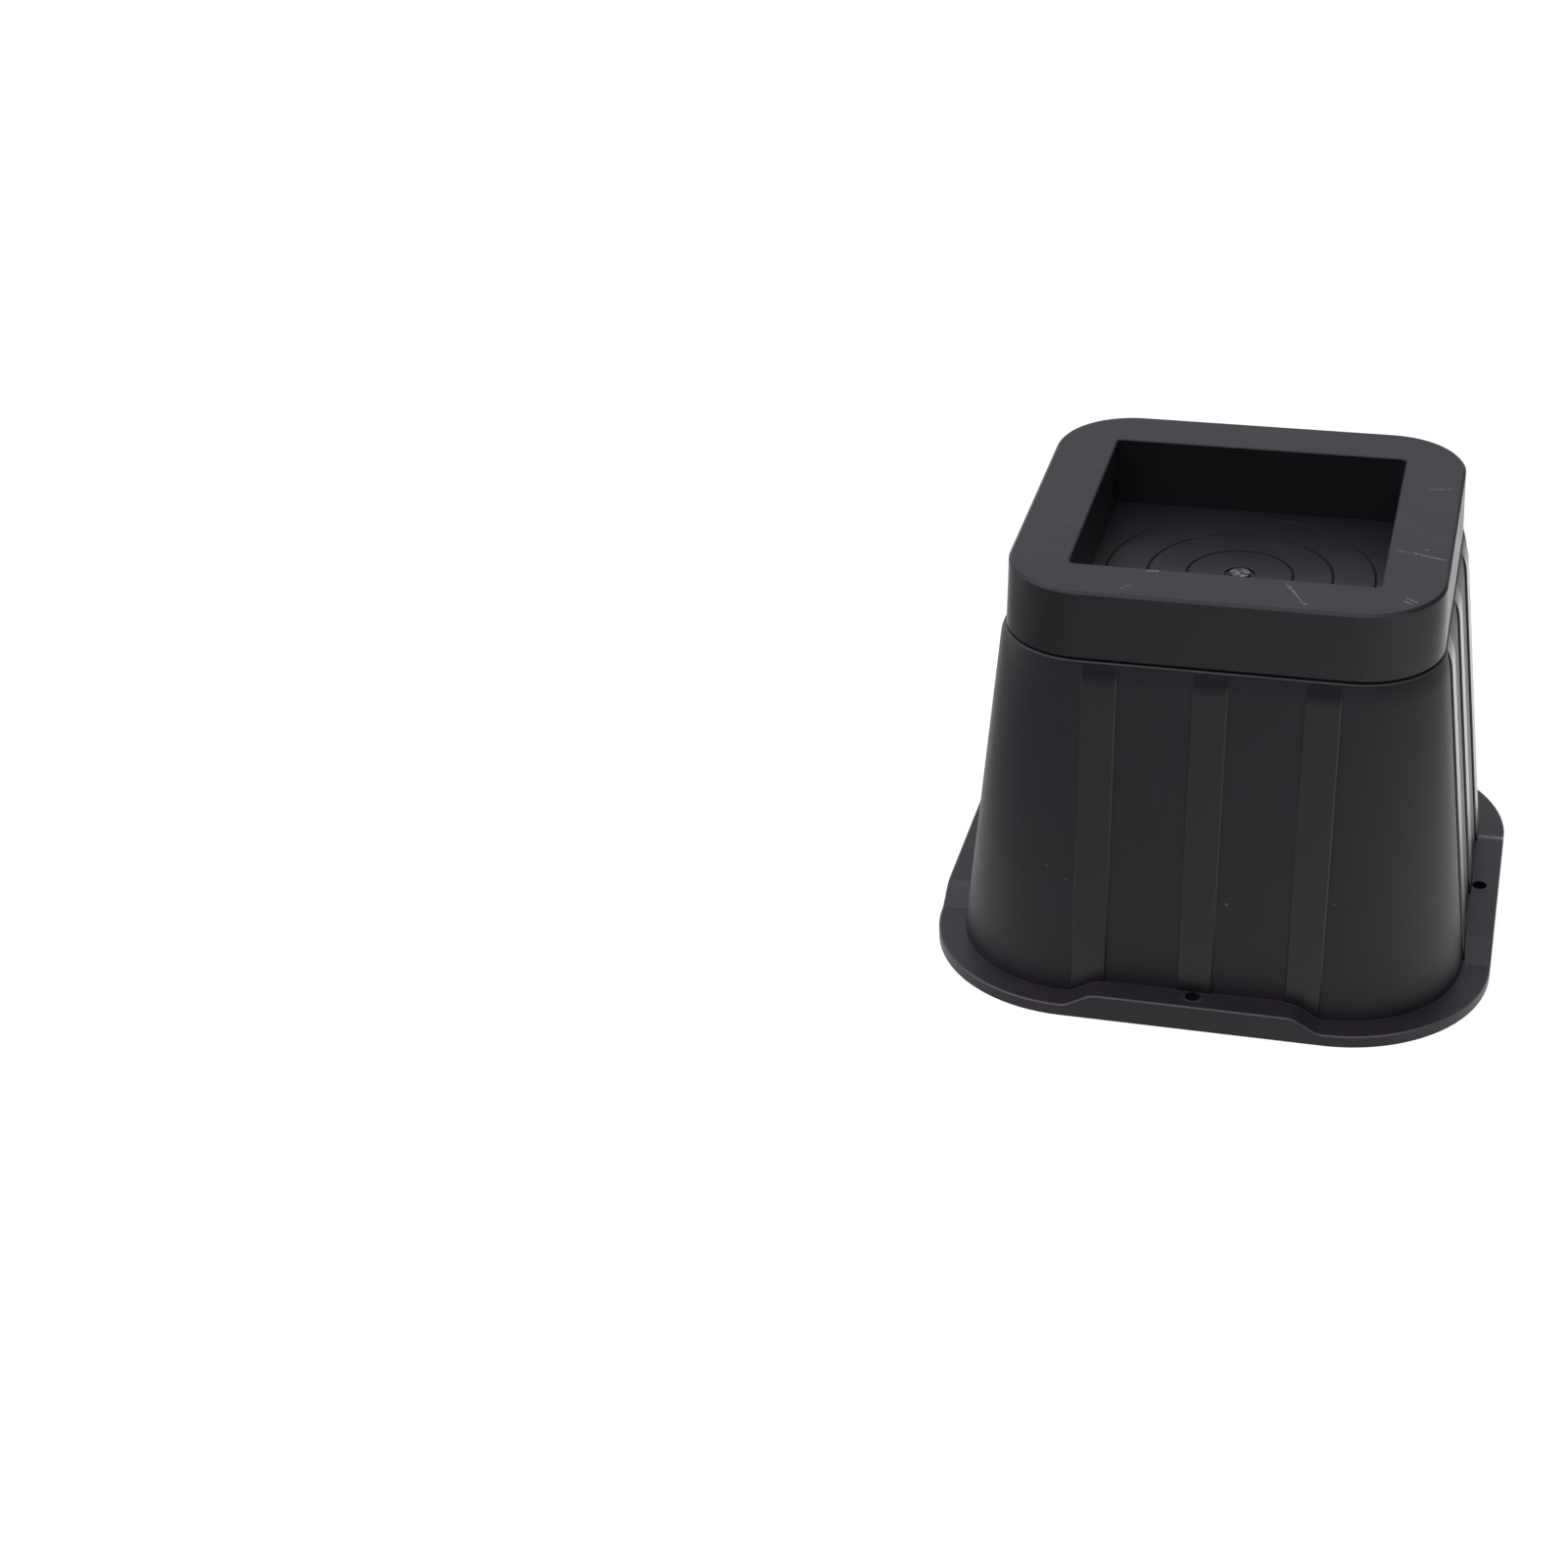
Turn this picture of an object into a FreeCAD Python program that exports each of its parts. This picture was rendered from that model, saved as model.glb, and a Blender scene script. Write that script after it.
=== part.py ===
"""Bed riser: a one-piece moulded stand that lifts one leg of a bed.

A tapered shell with rounded corners stands on a flange. Its collar holds a
square pocket for the leg, and a web of ribs carries the pocket's floor from
below. Millimetres, +Z up, origin on the floor under the middle of the riser.

All rounded squares of the riser, from the flange to the collar, share the
same four corner axes. So one section, measured outwards from a corner axis,
gives the corners when it is revolved and the sides when it is extruded.
"""
import FreeCAD, Part
import math
import os

V = FreeCAD.Vector
os.makedirs("parts", exist_ok=True)

# Overall form
HEIGHT = 139.5
BASE_WIDTH = 180.0              # flange, across the flats
CORNER_SPACING = 82.8           # between the upright axes of two corners
FLANGE_REACH = 8.5              # beyond the body's sides, taken down to the floor
BODY_DRAFT_DEG = 6.27           # lean of the body's sides
COLLAR_STEP = 1.1               # how far the collar's foot stands back
COLLAR_DRAFT_DEG = 1.9
COLLAR_HEIGHT = 23.0
RIM_CHAMFER = 0.9               # on the collar's top outer edge

# Shoulder, where the body curls in below the collar
SHOULDER_RISE = 7.0
SHOULDER_TUCK = 0.7
LIP_RUN = 0.5                   # bevel that ends the shoulder at the seam
LIP_DROP = 0.3
SEAM_DEPTH = 0.5                # V-shaped groove round the collar's foot
SEAM_HEIGHT = 0.9

# Flange, and the raised pad in the middle of each side
FLANGE_T = 3.9
EDGE_RUN = 0.55                 # bevel on the top edges of flange and pads
EDGE_DROP = 0.32
PAD_HEIGHT = 8.7                # above the floor
PAD_FLAT = 63.6                 # length of the pad's top
RAMP_RUN = 8.3
RAMP_TOP_R = 9.0
RAMP_FOOT_R = 4.6
SCREW_HOLE_D = 4.8
SCREW_HOLE_IN = 6.2             # from the flange's edge

# Raised strips on the outside, and the hollows behind them on the inside
STRIP_WIDTH = 11.2
STRIP_PITCH = 34.0
STRIP_PROUD = 0.7
STRIP_CHAMFER = 0.4             # along a strip's two upright edges
HOLLOW_WIDTH = 17.0
HOLLOW_DEPTH = 0.9

# Inside of the shell
FOOT_WALL = 4.8                 # of the body, at the floor
TOP_WALL = 2.5                  # of the body, at the ledge under the collar
COLLAR_WALL = 3.6
RIM_T = 3.2

# Pocket for the bed's leg
POCKET_WIDTH = 95.0
POCKET_DEPTH = 23.0
POCKET_WALL = 3.2
POCKET_FLOOR = 3.5
POCKET_CORNER_R = 2.2
POCKET_CHAMFER = 0.4            # round the pocket's mouth
GROOVE_RADII = (16.9, 29.6, 43.0)
GROOVE_WIDTH = 0.6
GROOVE_DEPTH = 0.3
GATE_DISH_D = 10.0              # dish round the stub that the gate left
GATE_DISH_DEPTH = 0.6
GATE_STUB_D = 7.2
GATE_STUB_HEIGHT = 0.4          # above the pocket's floor

# Ribs under the pocket
RIB_DEPTH = 16.3                # below the underside of the pocket's floor
RIB_COUNT = 16
THICK_RIB = 3.6
THIN_RIB = 1.7
INNER_RING_R = 20.0
INNER_RING_T = 2.3
OUTER_RING_R = 43.3
OUTER_RING_T = 1.8
BOSS_D = 6.4
BOSS_PROUD = 0.3

# What follows from the sizes above
AXIS = CORNER_SPACING / 2
SEAM_Z = HEIGHT - COLLAR_HEIGHT
POCKET_Z = HEIGHT - POCKET_DEPTH
FLOOR_UNDER_Z = POCKET_Z - POCKET_FLOOR
RIB_Z = FLOOR_UNDER_Z - RIB_DEPTH
RIM_UNDER_Z = HEIGHT - RIM_T
BURY = 0.6                      # how far added webs run into a wall
CUT_CLEAR = 1.0                 # how far a cut starts outside what it cuts
PICK = 0.01                     # tolerance when edges are picked by their place


def at(half_width, z):
    """Point of a section, its distance taken from the corner's axis."""
    return V(half_width - AXIS, 0, z)


def body_half(z):
    """Half width of the tapered body at a height."""
    return BASE_WIDTH / 2 - FLANGE_REACH - z * math.tan(math.radians(BODY_DRAFT_DEG))


def collar_half(z):
    """Half width of the collar at a height."""
    lean = (z - SEAM_Z) * math.tan(math.radians(COLLAR_DRAFT_DEG))
    return body_half(SEAM_Z) - COLLAR_STEP - lean


def cavity_half(z):
    """Half width of the tapered hollow at a height."""
    share = z / FLOOR_UNDER_Z
    return body_half(z) - FOOT_WALL * (1 - share) - TOP_WALL * share


def arc(start, middle, end):
    return Part.Arc(start, middle, end).toShape()


def blend(start, corner, end):
    """Soft rounding that leaves start and end in line with the corner."""
    curve = Part.BezierCurve()
    curve.setPoles([start, corner, end])
    return curve.toShape()


def section(edges):
    """Close a run of edges along the corner's axis and fill it."""
    first = edges[0].Vertexes[0].Point
    last = edges[-1].Vertexes[-1].Point
    foot = V(0, 0, first.z)
    top = V(0, 0, last.z)
    closing = [
        Part.makeLine(last, top),
        Part.makeLine(top, foot),
        Part.makeLine(foot, first),
    ]
    return Part.Face(Part.Wire(edges + closing))


def rounded_square_solid(face):
    """Revolve a section round the corner axes and run it along the sides."""
    box = face.BoundBox
    core = Part.makeBox(
        CORNER_SPACING, CORNER_SPACING, box.ZLength, V(-AXIS, -AXIS, box.ZMin)
    )
    corner = face.revolve(V(0, 0, 0), V(0, 0, 1), 90)
    corner.translate(V(AXIS, AXIS, 0))
    side = face.extrude(V(0, CORNER_SPACING, 0))
    side.translate(V(AXIS, -AXIS, 0))
    pieces = []
    for angle in (0, 90, 180, 270):
        for piece in (corner, side):
            turned = piece.copy()
            turned.rotate(V(0, 0, 0), V(0, 0, 1), angle)
            pieces.append(turned)
    return core.fuse(pieces).removeSplitter()


def on_each_side(shape):
    """Copies of a shape built on the +X side, one for each of the four sides."""
    copies = []
    for angle in (0, 90, 180, 270):
        turned = shape.copy()
        turned.rotate(V(0, 0, 0), V(0, 0, 1), angle)
        copies.append(turned)
    return copies


def shoulder_edges(offset):
    """Body's section from the floor to the seam, moved outwards below the shoulder."""
    bend_z = SEAM_Z - SHOULDER_RISE
    lip_z = SEAM_Z - LIP_DROP
    foot = at(body_half(0) + offset, 0)
    bend = at(body_half(bend_z) + offset, bend_z)
    lip = at(body_half(SEAM_Z) - SHOULDER_TUCK, lip_z)
    end = at(body_half(SEAM_Z) - SHOULDER_TUCK - LIP_RUN, SEAM_Z)
    corner_z = SEAM_Z - SHOULDER_RISE / 2
    corner = at(body_half(corner_z) + offset, corner_z)
    return [Part.makeLine(foot, bend), blend(bend, corner, lip), Part.makeLine(lip, end)]


def body_and_collar():
    """Solid outer form of the body, its shoulder, the seam and the collar."""
    edges = shoulder_edges(0)
    shoulder_end = edges[-1].Vertexes[-1].Point
    foot_z = SEAM_Z + SEAM_HEIGHT
    seam = at(collar_half(SEAM_Z) - SEAM_DEPTH, SEAM_Z + SEAM_HEIGHT / 2)
    foot = at(collar_half(foot_z), foot_z)
    rim_side = at(collar_half(HEIGHT - RIM_CHAMFER), HEIGHT - RIM_CHAMFER)
    rim_top = at(collar_half(HEIGHT) - RIM_CHAMFER, HEIGHT)
    edges += [
        Part.makeLine(shoulder_end, seam),
        Part.makeLine(seam, foot),
        Part.makeLine(foot, rim_side),
        Part.makeLine(rim_side, rim_top),
    ]
    return rounded_square_solid(section(edges))


def flange():
    half = BASE_WIDTH / 2
    side = at(half, FLANGE_T - EDGE_DROP)
    top = at(half - EDGE_RUN, FLANGE_T)
    edges = [Part.makeLine(at(half, 0), side), Part.makeLine(side, top)]
    return rounded_square_solid(section(edges))


def pad():
    """Raised pad in the middle of the +X side, with a ramp at each end."""
    half = PAD_FLAT / 2
    slope = math.atan2(PAD_HEIGHT - FLANGE_T, RAMP_RUN)
    root_z = FLANGE_T / 2
    x = BASE_WIDTH / 2

    def bend(sign, radius, y, z, outward):
        """Start, middle and end of the arc that rounds a ramp's corner at y, z."""
        reach = radius * math.tan(slope / 2)
        level = V(x, sign * (y + outward * reach), z)
        middle = V(
            x,
            sign * (y + outward * (reach - radius * math.sin(slope / 2))),
            z + outward * radius * (1 - math.cos(slope / 2)),
        )
        sloping = V(
            x,
            sign * (y - outward * reach * math.cos(slope)),
            z + outward * reach * math.sin(slope),
        )
        return level, middle, sloping

    def end_edges(sign):
        """Edges of one ramp, from the flange up to the pad's top."""
        low_start, low_middle, low_end = bend(sign, RAMP_FOOT_R, half + RAMP_RUN, FLANGE_T, 1)
        high_end, high_middle, high_start = bend(sign, RAMP_TOP_R, half, PAD_HEIGHT, -1)
        return [
            Part.makeLine(V(x, low_start.y, root_z), low_start),
            arc(low_start, low_middle, low_end),
            Part.makeLine(low_end, high_start),
            arc(high_start, high_middle, high_end),
        ]

    left = end_edges(-1)
    right = end_edges(1)
    top = Part.makeLine(left[-1].Vertexes[-1].Point, right[-1].Vertexes[-1].Point)
    bottom = Part.makeLine(left[0].Vertexes[0].Point, right[0].Vertexes[0].Point)
    outline = Part.Wire(Part.__sortEdges__(left + [top] + right + [bottom]))
    depth = BASE_WIDTH / 2 - (body_half(0) + cavity_half(0)) / 2
    block = Part.Face(outline).extrude(V(-depth, 0, 0))
    outer_edges = [
        edge for edge in block.Edges
        if edge.BoundBox.XMin > x - PICK and edge.BoundBox.ZMax > FLANGE_T + PICK
        and edge.BoundBox.ZMin > root_z + PICK
    ]
    return block.makeChamfer(EDGE_RUN, EDGE_DROP, outer_edges)


def strips():
    """Three raised strips on the +X side, which follow the shoulder's curve."""
    edges = shoulder_edges(STRIP_PROUD)
    slab = section(edges).extrude(V(0, STRIP_WIDTH, 0))
    upright = [
        edge for edge in slab.Edges
        if edge.BoundBox.YLength < PICK and edge.BoundBox.XMin > PICK
        and edge.BoundBox.ZLength > LIP_DROP + PICK
    ]
    slab = slab.makeChamfer(STRIP_CHAMFER, upright)
    made = []
    for step in (-1, 0, 1):
        strip = slab.copy()
        strip.translate(V(AXIS, step * STRIP_PITCH - STRIP_WIDTH / 2, 0))
        made.append(strip)
    return made


def cavity(grow=0):
    """Hollow of the shell, with the ledge where the collar's wall begins."""
    foot = at(cavity_half(0) + grow, 0)
    ledge_out = at(cavity_half(FLOOR_UNDER_Z) + grow, FLOOR_UNDER_Z)
    ledge_in = at(collar_half(SEAM_Z) - COLLAR_WALL + grow, FLOOR_UNDER_Z + grow)
    top = at(collar_half(RIM_UNDER_Z) - COLLAR_WALL + grow, RIM_UNDER_Z + grow)
    edges = [
        Part.makeLine(foot, ledge_out),
        Part.makeLine(ledge_out, ledge_in),
        Part.makeLine(ledge_in, top),
    ]
    return rounded_square_solid(section(edges))


def strip_hollows():
    """Hollows behind the three strips of the +X side, up to the ribs."""
    edges = [
        Part.makeLine(
            at(cavity_half(0) + HOLLOW_DEPTH, 0), at(cavity_half(RIB_Z) + HOLLOW_DEPTH, RIB_Z)
        )
    ]
    slab = section(edges).extrude(V(0, HOLLOW_WIDTH, 0))
    made = []
    for step in (-1, 0, 1):
        hollow = slab.copy()
        hollow.translate(V(AXIS, step * STRIP_PITCH - HOLLOW_WIDTH / 2, 0))
        made.append(hollow)
    return made


def square_prism(width, corner_r, z_low, z_high):
    """Upright prism on a square with rounded corners, centred on the riser."""
    block = Part.makeBox(width, width, z_high - z_low, V(-width / 2, -width / 2, z_low))
    upright = [edge for edge in block.Edges if edge.BoundBox.ZLength > (z_high - z_low) / 2]
    return block.makeFillet(corner_r, upright)


def tube(radius, thickness, z_low, z_high):
    outer = Part.makeCylinder(radius + thickness / 2, z_high - z_low, V(0, 0, z_low))
    inner = Part.makeCylinder(radius - thickness / 2, z_high - z_low, V(0, 0, z_low))
    return outer.cut(inner)


def rib(angle, thickness, inner_end):
    """One upright web from near the middle out past the shell's wall."""
    reach = BASE_WIDTH
    web = Part.makeBox(
        reach - inner_end, thickness, HEIGHT - RIB_Z, V(inner_end, -thickness / 2, RIB_Z)
    )
    web.rotate(V(0, 0, 0), V(0, 0, 1), angle)
    return web


def rib_web():
    """Ribs, rings and bosses, trimmed to the hollow that they fill."""
    webs = []
    for index in range(RIB_COUNT):
        angle = 360 * index / RIB_COUNT
        is_thick = index % 2 == 0
        is_cross_arm = index % (RIB_COUNT // 4) == 0
        thickness = THICK_RIB if is_thick else THIN_RIB
        inner_end = 0 if is_cross_arm else INNER_RING_R
        webs.append(rib(angle, thickness, inner_end))
    top = POCKET_Z - POCKET_FLOOR / 2
    webs.append(tube(INNER_RING_R, INNER_RING_T, RIB_Z, top))
    webs.append(tube(OUTER_RING_R, OUTER_RING_T, RIB_Z, top))
    boss_z = RIB_Z - BOSS_PROUD
    webs.append(Part.makeCylinder(BOSS_D / 2, top - boss_z, V(0, 0, boss_z)))
    for index in range(0, RIB_COUNT, 2):
        angle = math.radians(360 * index / RIB_COUNT)
        place = V(OUTER_RING_R * math.cos(angle), OUTER_RING_R * math.sin(angle), boss_z)
        webs.append(Part.makeCylinder(BOSS_D / 2, top - boss_z, place))
    joined = webs[0].fuse(webs[1:])
    return joined.common(cavity(BURY))


def screw_holes():
    place = V(BASE_WIDTH / 2 - SCREW_HOLE_IN, 0, -CUT_CLEAR)
    return on_each_side(Part.makeCylinder(SCREW_HOLE_D / 2, PAD_HEIGHT + 2 * CUT_CLEAR, place))


def hairline_ring(radius):
    """V-shaped ring, cut into the pocket's floor."""
    corners = [
        V(radius - GROOVE_WIDTH, 0, POCKET_Z + GROOVE_DEPTH),
        V(radius, 0, POCKET_Z - GROOVE_DEPTH),
        V(radius + GROOVE_WIDTH, 0, POCKET_Z + GROOVE_DEPTH),
    ]
    outline = Part.makePolygon(corners + corners[:1])
    return Part.Face(outline).revolve(V(0, 0, 0), V(0, 0, 1), 360)


def gate_dish():
    """Dish in the middle of the pocket's floor, round the stub of the gate."""
    low = POCKET_Z - GATE_DISH_DEPTH
    dish = Part.makeCylinder(GATE_DISH_D / 2, 2 * GATE_DISH_DEPTH, V(0, 0, low))
    return dish.cut(gate_stub())


def gate_stub():
    low = POCKET_Z - POCKET_FLOOR / 2
    height = POCKET_FLOOR / 2 - GATE_DISH_DEPTH + GATE_STUB_HEIGHT
    return Part.makeCylinder(GATE_STUB_D / 2, height, V(0, 0, low))


def riser():
    shell = body_and_collar().fuse([flange()] + on_each_side(pad()))
    for strip in strips():
        shell = shell.fuse(on_each_side(strip))
    shell = shell.cut(cavity())
    for hollow in strip_hollows():
        shell = shell.cut(on_each_side(hollow))
    pocket_width = POCKET_WIDTH + 2 * POCKET_WALL
    pocket_box = square_prism(
        pocket_width, POCKET_CORNER_R + POCKET_WALL, FLOOR_UNDER_Z, RIM_UNDER_Z + BURY
    )
    solid = shell.fuse([pocket_box, rib_web()])
    pocket = square_prism(POCKET_WIDTH, POCKET_CORNER_R, POCKET_Z, HEIGHT + CUT_CLEAR)
    rings = [hairline_ring(radius) for radius in GROOVE_RADII]
    solid = solid.cut([pocket] + screw_holes() + rings)
    solid = solid.cut(gate_dish()).fuse(gate_stub()).removeSplitter()
    mouth = [
        edge for edge in solid.Edges
        if edge.BoundBox.ZMin > HEIGHT - PICK and edge.BoundBox.XMax < POCKET_WIDTH / 2 + PICK
        and edge.BoundBox.YMax < POCKET_WIDTH / 2 + PICK
        and edge.BoundBox.XMin > -POCKET_WIDTH / 2 - PICK
        and edge.BoundBox.YMin > -POCKET_WIDTH / 2 - PICK
    ]
    return solid.makeChamfer(POCKET_CHAMFER, mouth)


shape = riser()
if len(shape.Solids) == 1:
    shape = shape.Solids[0]
shape.exportStep("parts/riser_body.step")
print("solids", len(shape.Solids), "valid", shape.isValid(), "volume", round(shape.Volume))
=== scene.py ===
"""Finish, stage and camera for the bed riser.

The moulded body comes from model.glb with its shape complete. Here it gets
the surface of its plastic, and the torn stub that the mould's gate left in
the pocket is modelled on it. Metres, +Z up, floor at zero.
"""
import math
from functools import reduce
from types import SimpleNamespace

import bpy
from mathutils import Matrix, Vector


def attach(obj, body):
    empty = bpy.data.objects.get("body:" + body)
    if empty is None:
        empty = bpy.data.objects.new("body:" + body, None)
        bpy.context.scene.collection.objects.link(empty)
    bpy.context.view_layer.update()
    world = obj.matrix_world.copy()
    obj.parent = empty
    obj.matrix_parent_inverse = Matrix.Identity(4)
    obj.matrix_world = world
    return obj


bl_info = {
    "name": "Bed riser finish",
    "version": (1, 0, 0),
    "blender": (4, 5, 0),
    "location": "View3D > Sidebar > Riser",
    "description": "Dresses the moulded bed riser and sets up its studio",
    "category": "Object",
}

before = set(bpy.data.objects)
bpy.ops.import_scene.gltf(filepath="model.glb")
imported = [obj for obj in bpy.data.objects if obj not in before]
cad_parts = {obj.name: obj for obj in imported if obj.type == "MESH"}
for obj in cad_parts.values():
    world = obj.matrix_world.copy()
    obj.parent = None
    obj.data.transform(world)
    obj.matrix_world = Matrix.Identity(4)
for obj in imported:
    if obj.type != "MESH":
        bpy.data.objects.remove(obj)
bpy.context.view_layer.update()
riser_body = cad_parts["riser_body"]

MM = 0.001

# Lengths are in millimetres down to the light, which is in metres

# Sizes of the solid that the surface follows
CORNER_AXIS = 41.4              # from the middle to the upright axis of a corner
FOOT_HALF = 81.5                # body's half width, taken down to the floor
BODY_LEAN = math.tan(math.radians(6.27))
WALL_INNER = -1.0               # body's outside lies between these, from the plain wall out
WALL_OUTER = 0.9
FLANGE_TOP = 3.9
PAD_TOP = 8.7
PAD_END = 30.0                  # where a pad's ramp begins, from the middle of the side
RAMP_END = 41.4
EDGE_REACH = 89.43              # where the bevel of flange and pads begins
EDGE_DROP = 0.36
HOLE_REACH = 83.8               # screw hole's axis, from the middle
HOLE_RADIUS = 2.4
SEAM = 116.5                    # foot of the collar, and the pocket's floor
TOP = 139.5
POCKET_HALF = 47.5
STRIP_HALF = 5.6
STRIP_PITCH = 34.0
STRIP_PROUD = 0.7
COLLAR_HALF = 65.5              # just inside the collar's outer wall
STUB_TOP = 116.9
COLLAR_START = SEAM + 0.5       # in the groove round the collar's foot
FLOOR_BAND = 1.0                # the pocket's floor is this near the seam's height
MARGIN = 0.05                   # a mask reaches this far past the face at its limit

# Painted shade in the rings, the collar's groove, the screw holes and the strips' feet: where it
# lies, and how dark it is
RING_RADII = (16.9, 29.6, 43.0)
RING_LINE = 0.5                 # half the width drawn, wider than the groove so that it shows
RING_THINS = (10.0, 40.0)       # from here to there towards the back
RING_LEAST = 0.25
GROOVE_MIDDLE = SEAM + 0.55
GROOVE_HALF = 0.52
STRIP_FOOT = (0.7, 2.2)         # painted contact shade at a strip's foot, above the start of the pad's bevel
STRIP_FOOT_DARK = 0.8
PAINTED_SHADE_COLOUR = "#050505"

# Painted highlights along edges: where they run, and how pale they are
BEVEL_PALE = 0.22
FOOT_LINE = (0.35, 0.2)         # middle and half the width, out from the wall
FOOT_LINE_START = 1.0           # it isn't on the underside
FOOT_PALE = 0.04
STRIP_FOOT_PALE = 0.14
STRIP_LINE = 0.25               # half the width, along each upright edge of a strip
STRIP_PALE = 0.04
LIP_LINE = (SEAM - 0.16, 0.17)  # middle and half the width
LIP_PALE = 0.13
RIM_LINE = (2.85, 0.4)          # middle and half the width, from the screw hole's axis
RIM_SPREAD = 2.0                # it grows paler outwards over this length
RIM_PALE = 0.12
SHOULDER_HIGHLIGHT_LINE = (110.4, 0.16)    # painted highlight of the shoulder's rounding, under the shoulder
SHOULDER_HIGHLIGHT_PALE = 0.06

# Marks on the foot's underside
PIN_NEAR = 49.5                 # ejector marks, from the two middle lines
PIN_FAR = 83.2
PIN_RADIUS = 5.3
PIN_SOFT = 0.2
PANEL_HALF = 37.2               # shallow panels
PANEL_REACH = 86.8
PANEL_SOFT = 0.3
PANEL_DEPTH = 0.25

# Moulded plastic
REFRACTION = 1.49               # polypropylene
TONE_SPREAD = 0.12              # cloudiness of the colour
GLOSS_SPREAD = 0.12             # and of the plain faces' roughness
PLAIN_TONE = 0.7                # colour of collar, rim and inside, as a share of the skin's
FOOT_PAINTED_LIGHT = 0.34                # more on flange and pads, painted light that brightens their tops
FOOT_SIDE_PAINTED_SHADE = -0.42          # less on their upright sides, painted shade
COLLAR_GRAIN = 0.6              # height of the collar's grain, as a share of the skin's
WAVE_LENGTH = 14.0              # faint waves that the polished tool leaves
WAVE_DEPTH = 0.04
WAVE_MIDDLE = 0.5               # of the noise

# Scuffs and specks
SCUFF_CORE = 0.1                # full strength up to here from the middle
HAIR_SIZE = 0.8                 # hair scratches, drawn larger so that they show
HAIR_SHARES = (0.35, 0.6)
SPECK_HALF = 0.2
SPECK_FADE = 0.6
# Light scuffs from handling: both ends, half the width and the strength, in millimetres
RIM_SCUFFS = (
    ((55.6, 24.6, TOP), (63.5, 26.4, TOP), 0.45, 0.5),
    ((49.6, -21.1, TOP), (56.0, -22.9, TOP), 0.4, 0.5),
    ((55.5, -22.4, TOP), (65.2, -25.8, TOP), 0.5, 0.9),
    ((58.5, -19.4, TOP), (59.2, -19.0, TOP), 0.5, 0.6),
    ((18.8, -49.2, TOP), (26.4, -63.0, TOP), 0.45, 0.7),
    ((20.4, -50.5, TOP), (23.6, -57.5, TOP), 0.3, 0.5),
    ((25.0, -61.8, TOP), (27.2, -62.6, TOP), 0.5, 0.8),
    ((55.2, -53.2, TOP), (58.6, -55.6, TOP), 0.5, 0.7),
    ((55.0, -55.4, TOP), (57.2, -57.0, TOP), 0.45, 0.8),
    ((-29.2, -62.8, TOP), (-26.6, -58.8, TOP), 0.35, 0.5),
    ((-22.7, -49.0, TOP), (-19.7, -48.6, TOP), 0.5, 0.9),
    ((-64.0, -22.0, TOP), (-50.0, -17.5, TOP), 0.5, 0.12),
    ((-57.0, 12.0, TOP), (-49.5, 26.0, TOP), 0.6, 0.1),
)
# Pale specks on the front: across, and up from the floor
FRONT_SPECKS = ((-48.5, 46.7), (-42.4, 42.9), (3.5, 45.9), (8.6, 40.1), (41.9, 44.0))

# Torn stub of the gate
STUB_SIDES = 40
STUB_SUNK = 0.1                 # its foot is inside the solid's stub
FACES_UP = 0.9                  # least rise of the normal of a face that looks up
TOP_BAND = 0.01                 # a vertex this near the top is on it
TEAR_RINGS = 6
TEAR_STEP = 0.07                # of its width
TEAR_REACH = 0.47               # of its width
TEAR_SIZE = 1.6
TEAR_MIDDLE = 0.35
TEAR_CREASE = 50                # degrees
RIDGE_SIZE = 1.5
RIDGE_TOP = 0.8                 # above the stub, where a ridge is palest
RIDGE_LIFT = 0.5
RIDGE_PALE = (0.55, 0.85)
RIDGE_DEPTH = 0.15
TORN_ROUGHNESS = 0.45

# Light, in metres; a pair of pairs takes a range of places to a range of strengths
SOFTBOX_PLACE = (-0.2, -0.15, 1.5)
SOFTBOX_AIM = (0.0, 0.0, 0.1)
FLOOR_WHITE = 0.9               # what the floor adds to its paint for the camera
# Painted light and shade on the floor, which only the riser's reflections show
FLOOR_LIT = ((-0.2, 0.19), (0.36, 1.7))
FLOOR_FADE = ((0.15, 0.27), (1.0, 0.2))
POOL_PLACE = (0.34, -0.24, 0.0)
POOL_FALL = ((0.05, 0.4), (0.85, 0.0))
SHADE_BAND_SLANT = 0.32               # share by which the painted shade band leans left as it runs back
SHADE_BAND_MIDDLE = -0.3
SHADE_BAND_END = -0.03                # it runs straight on in front of this
SHADE_BAND_FALL = ((0.1, 0.16), (0.0, 1.0))
FRONT_DROP = -0.1
WALL_LIGHT = ((-0.3, 0.5), (0.55, 0.1))
RIGHT_DIMMED = ((0.0, 0.8), (1.0, 0.15))
LIGHT = (1.0, 0.975, 1.03)      # daylight lamps, a trace cool

SENSOR_WIDTH = 36               # of the camera, in millimetres


def linear(code):
    """Linear colour of an sRGB hex value."""
    channels = [int(code[i:i + 2], 16) / 255 for i in (1, 3, 5)]
    return [c / 12.92 if c <= 0.04045 else ((c + 0.055) / 1.055) ** 2.4 for c in channels]


def add(tree, kind, inputs=None, **settings):
    """Add a node with its settings, and link or fill its inputs."""
    node = tree.nodes.new(kind)
    for name, value in settings.items():
        setattr(node, name, value)
    for socket, value in (inputs or {}).items():
        if isinstance(value, bpy.types.Node):
            value = value.outputs[0]
        if isinstance(value, bpy.types.NodeSocket):
            tree.links.new(value, node.inputs[socket])
        else:
            node.inputs[socket].default_value = value
    return node


def calc(tree, operation, *values):
    """Sum on numbers."""
    return add(tree, "ShaderNodeMath", dict(enumerate(values)), operation=operation)


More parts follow.
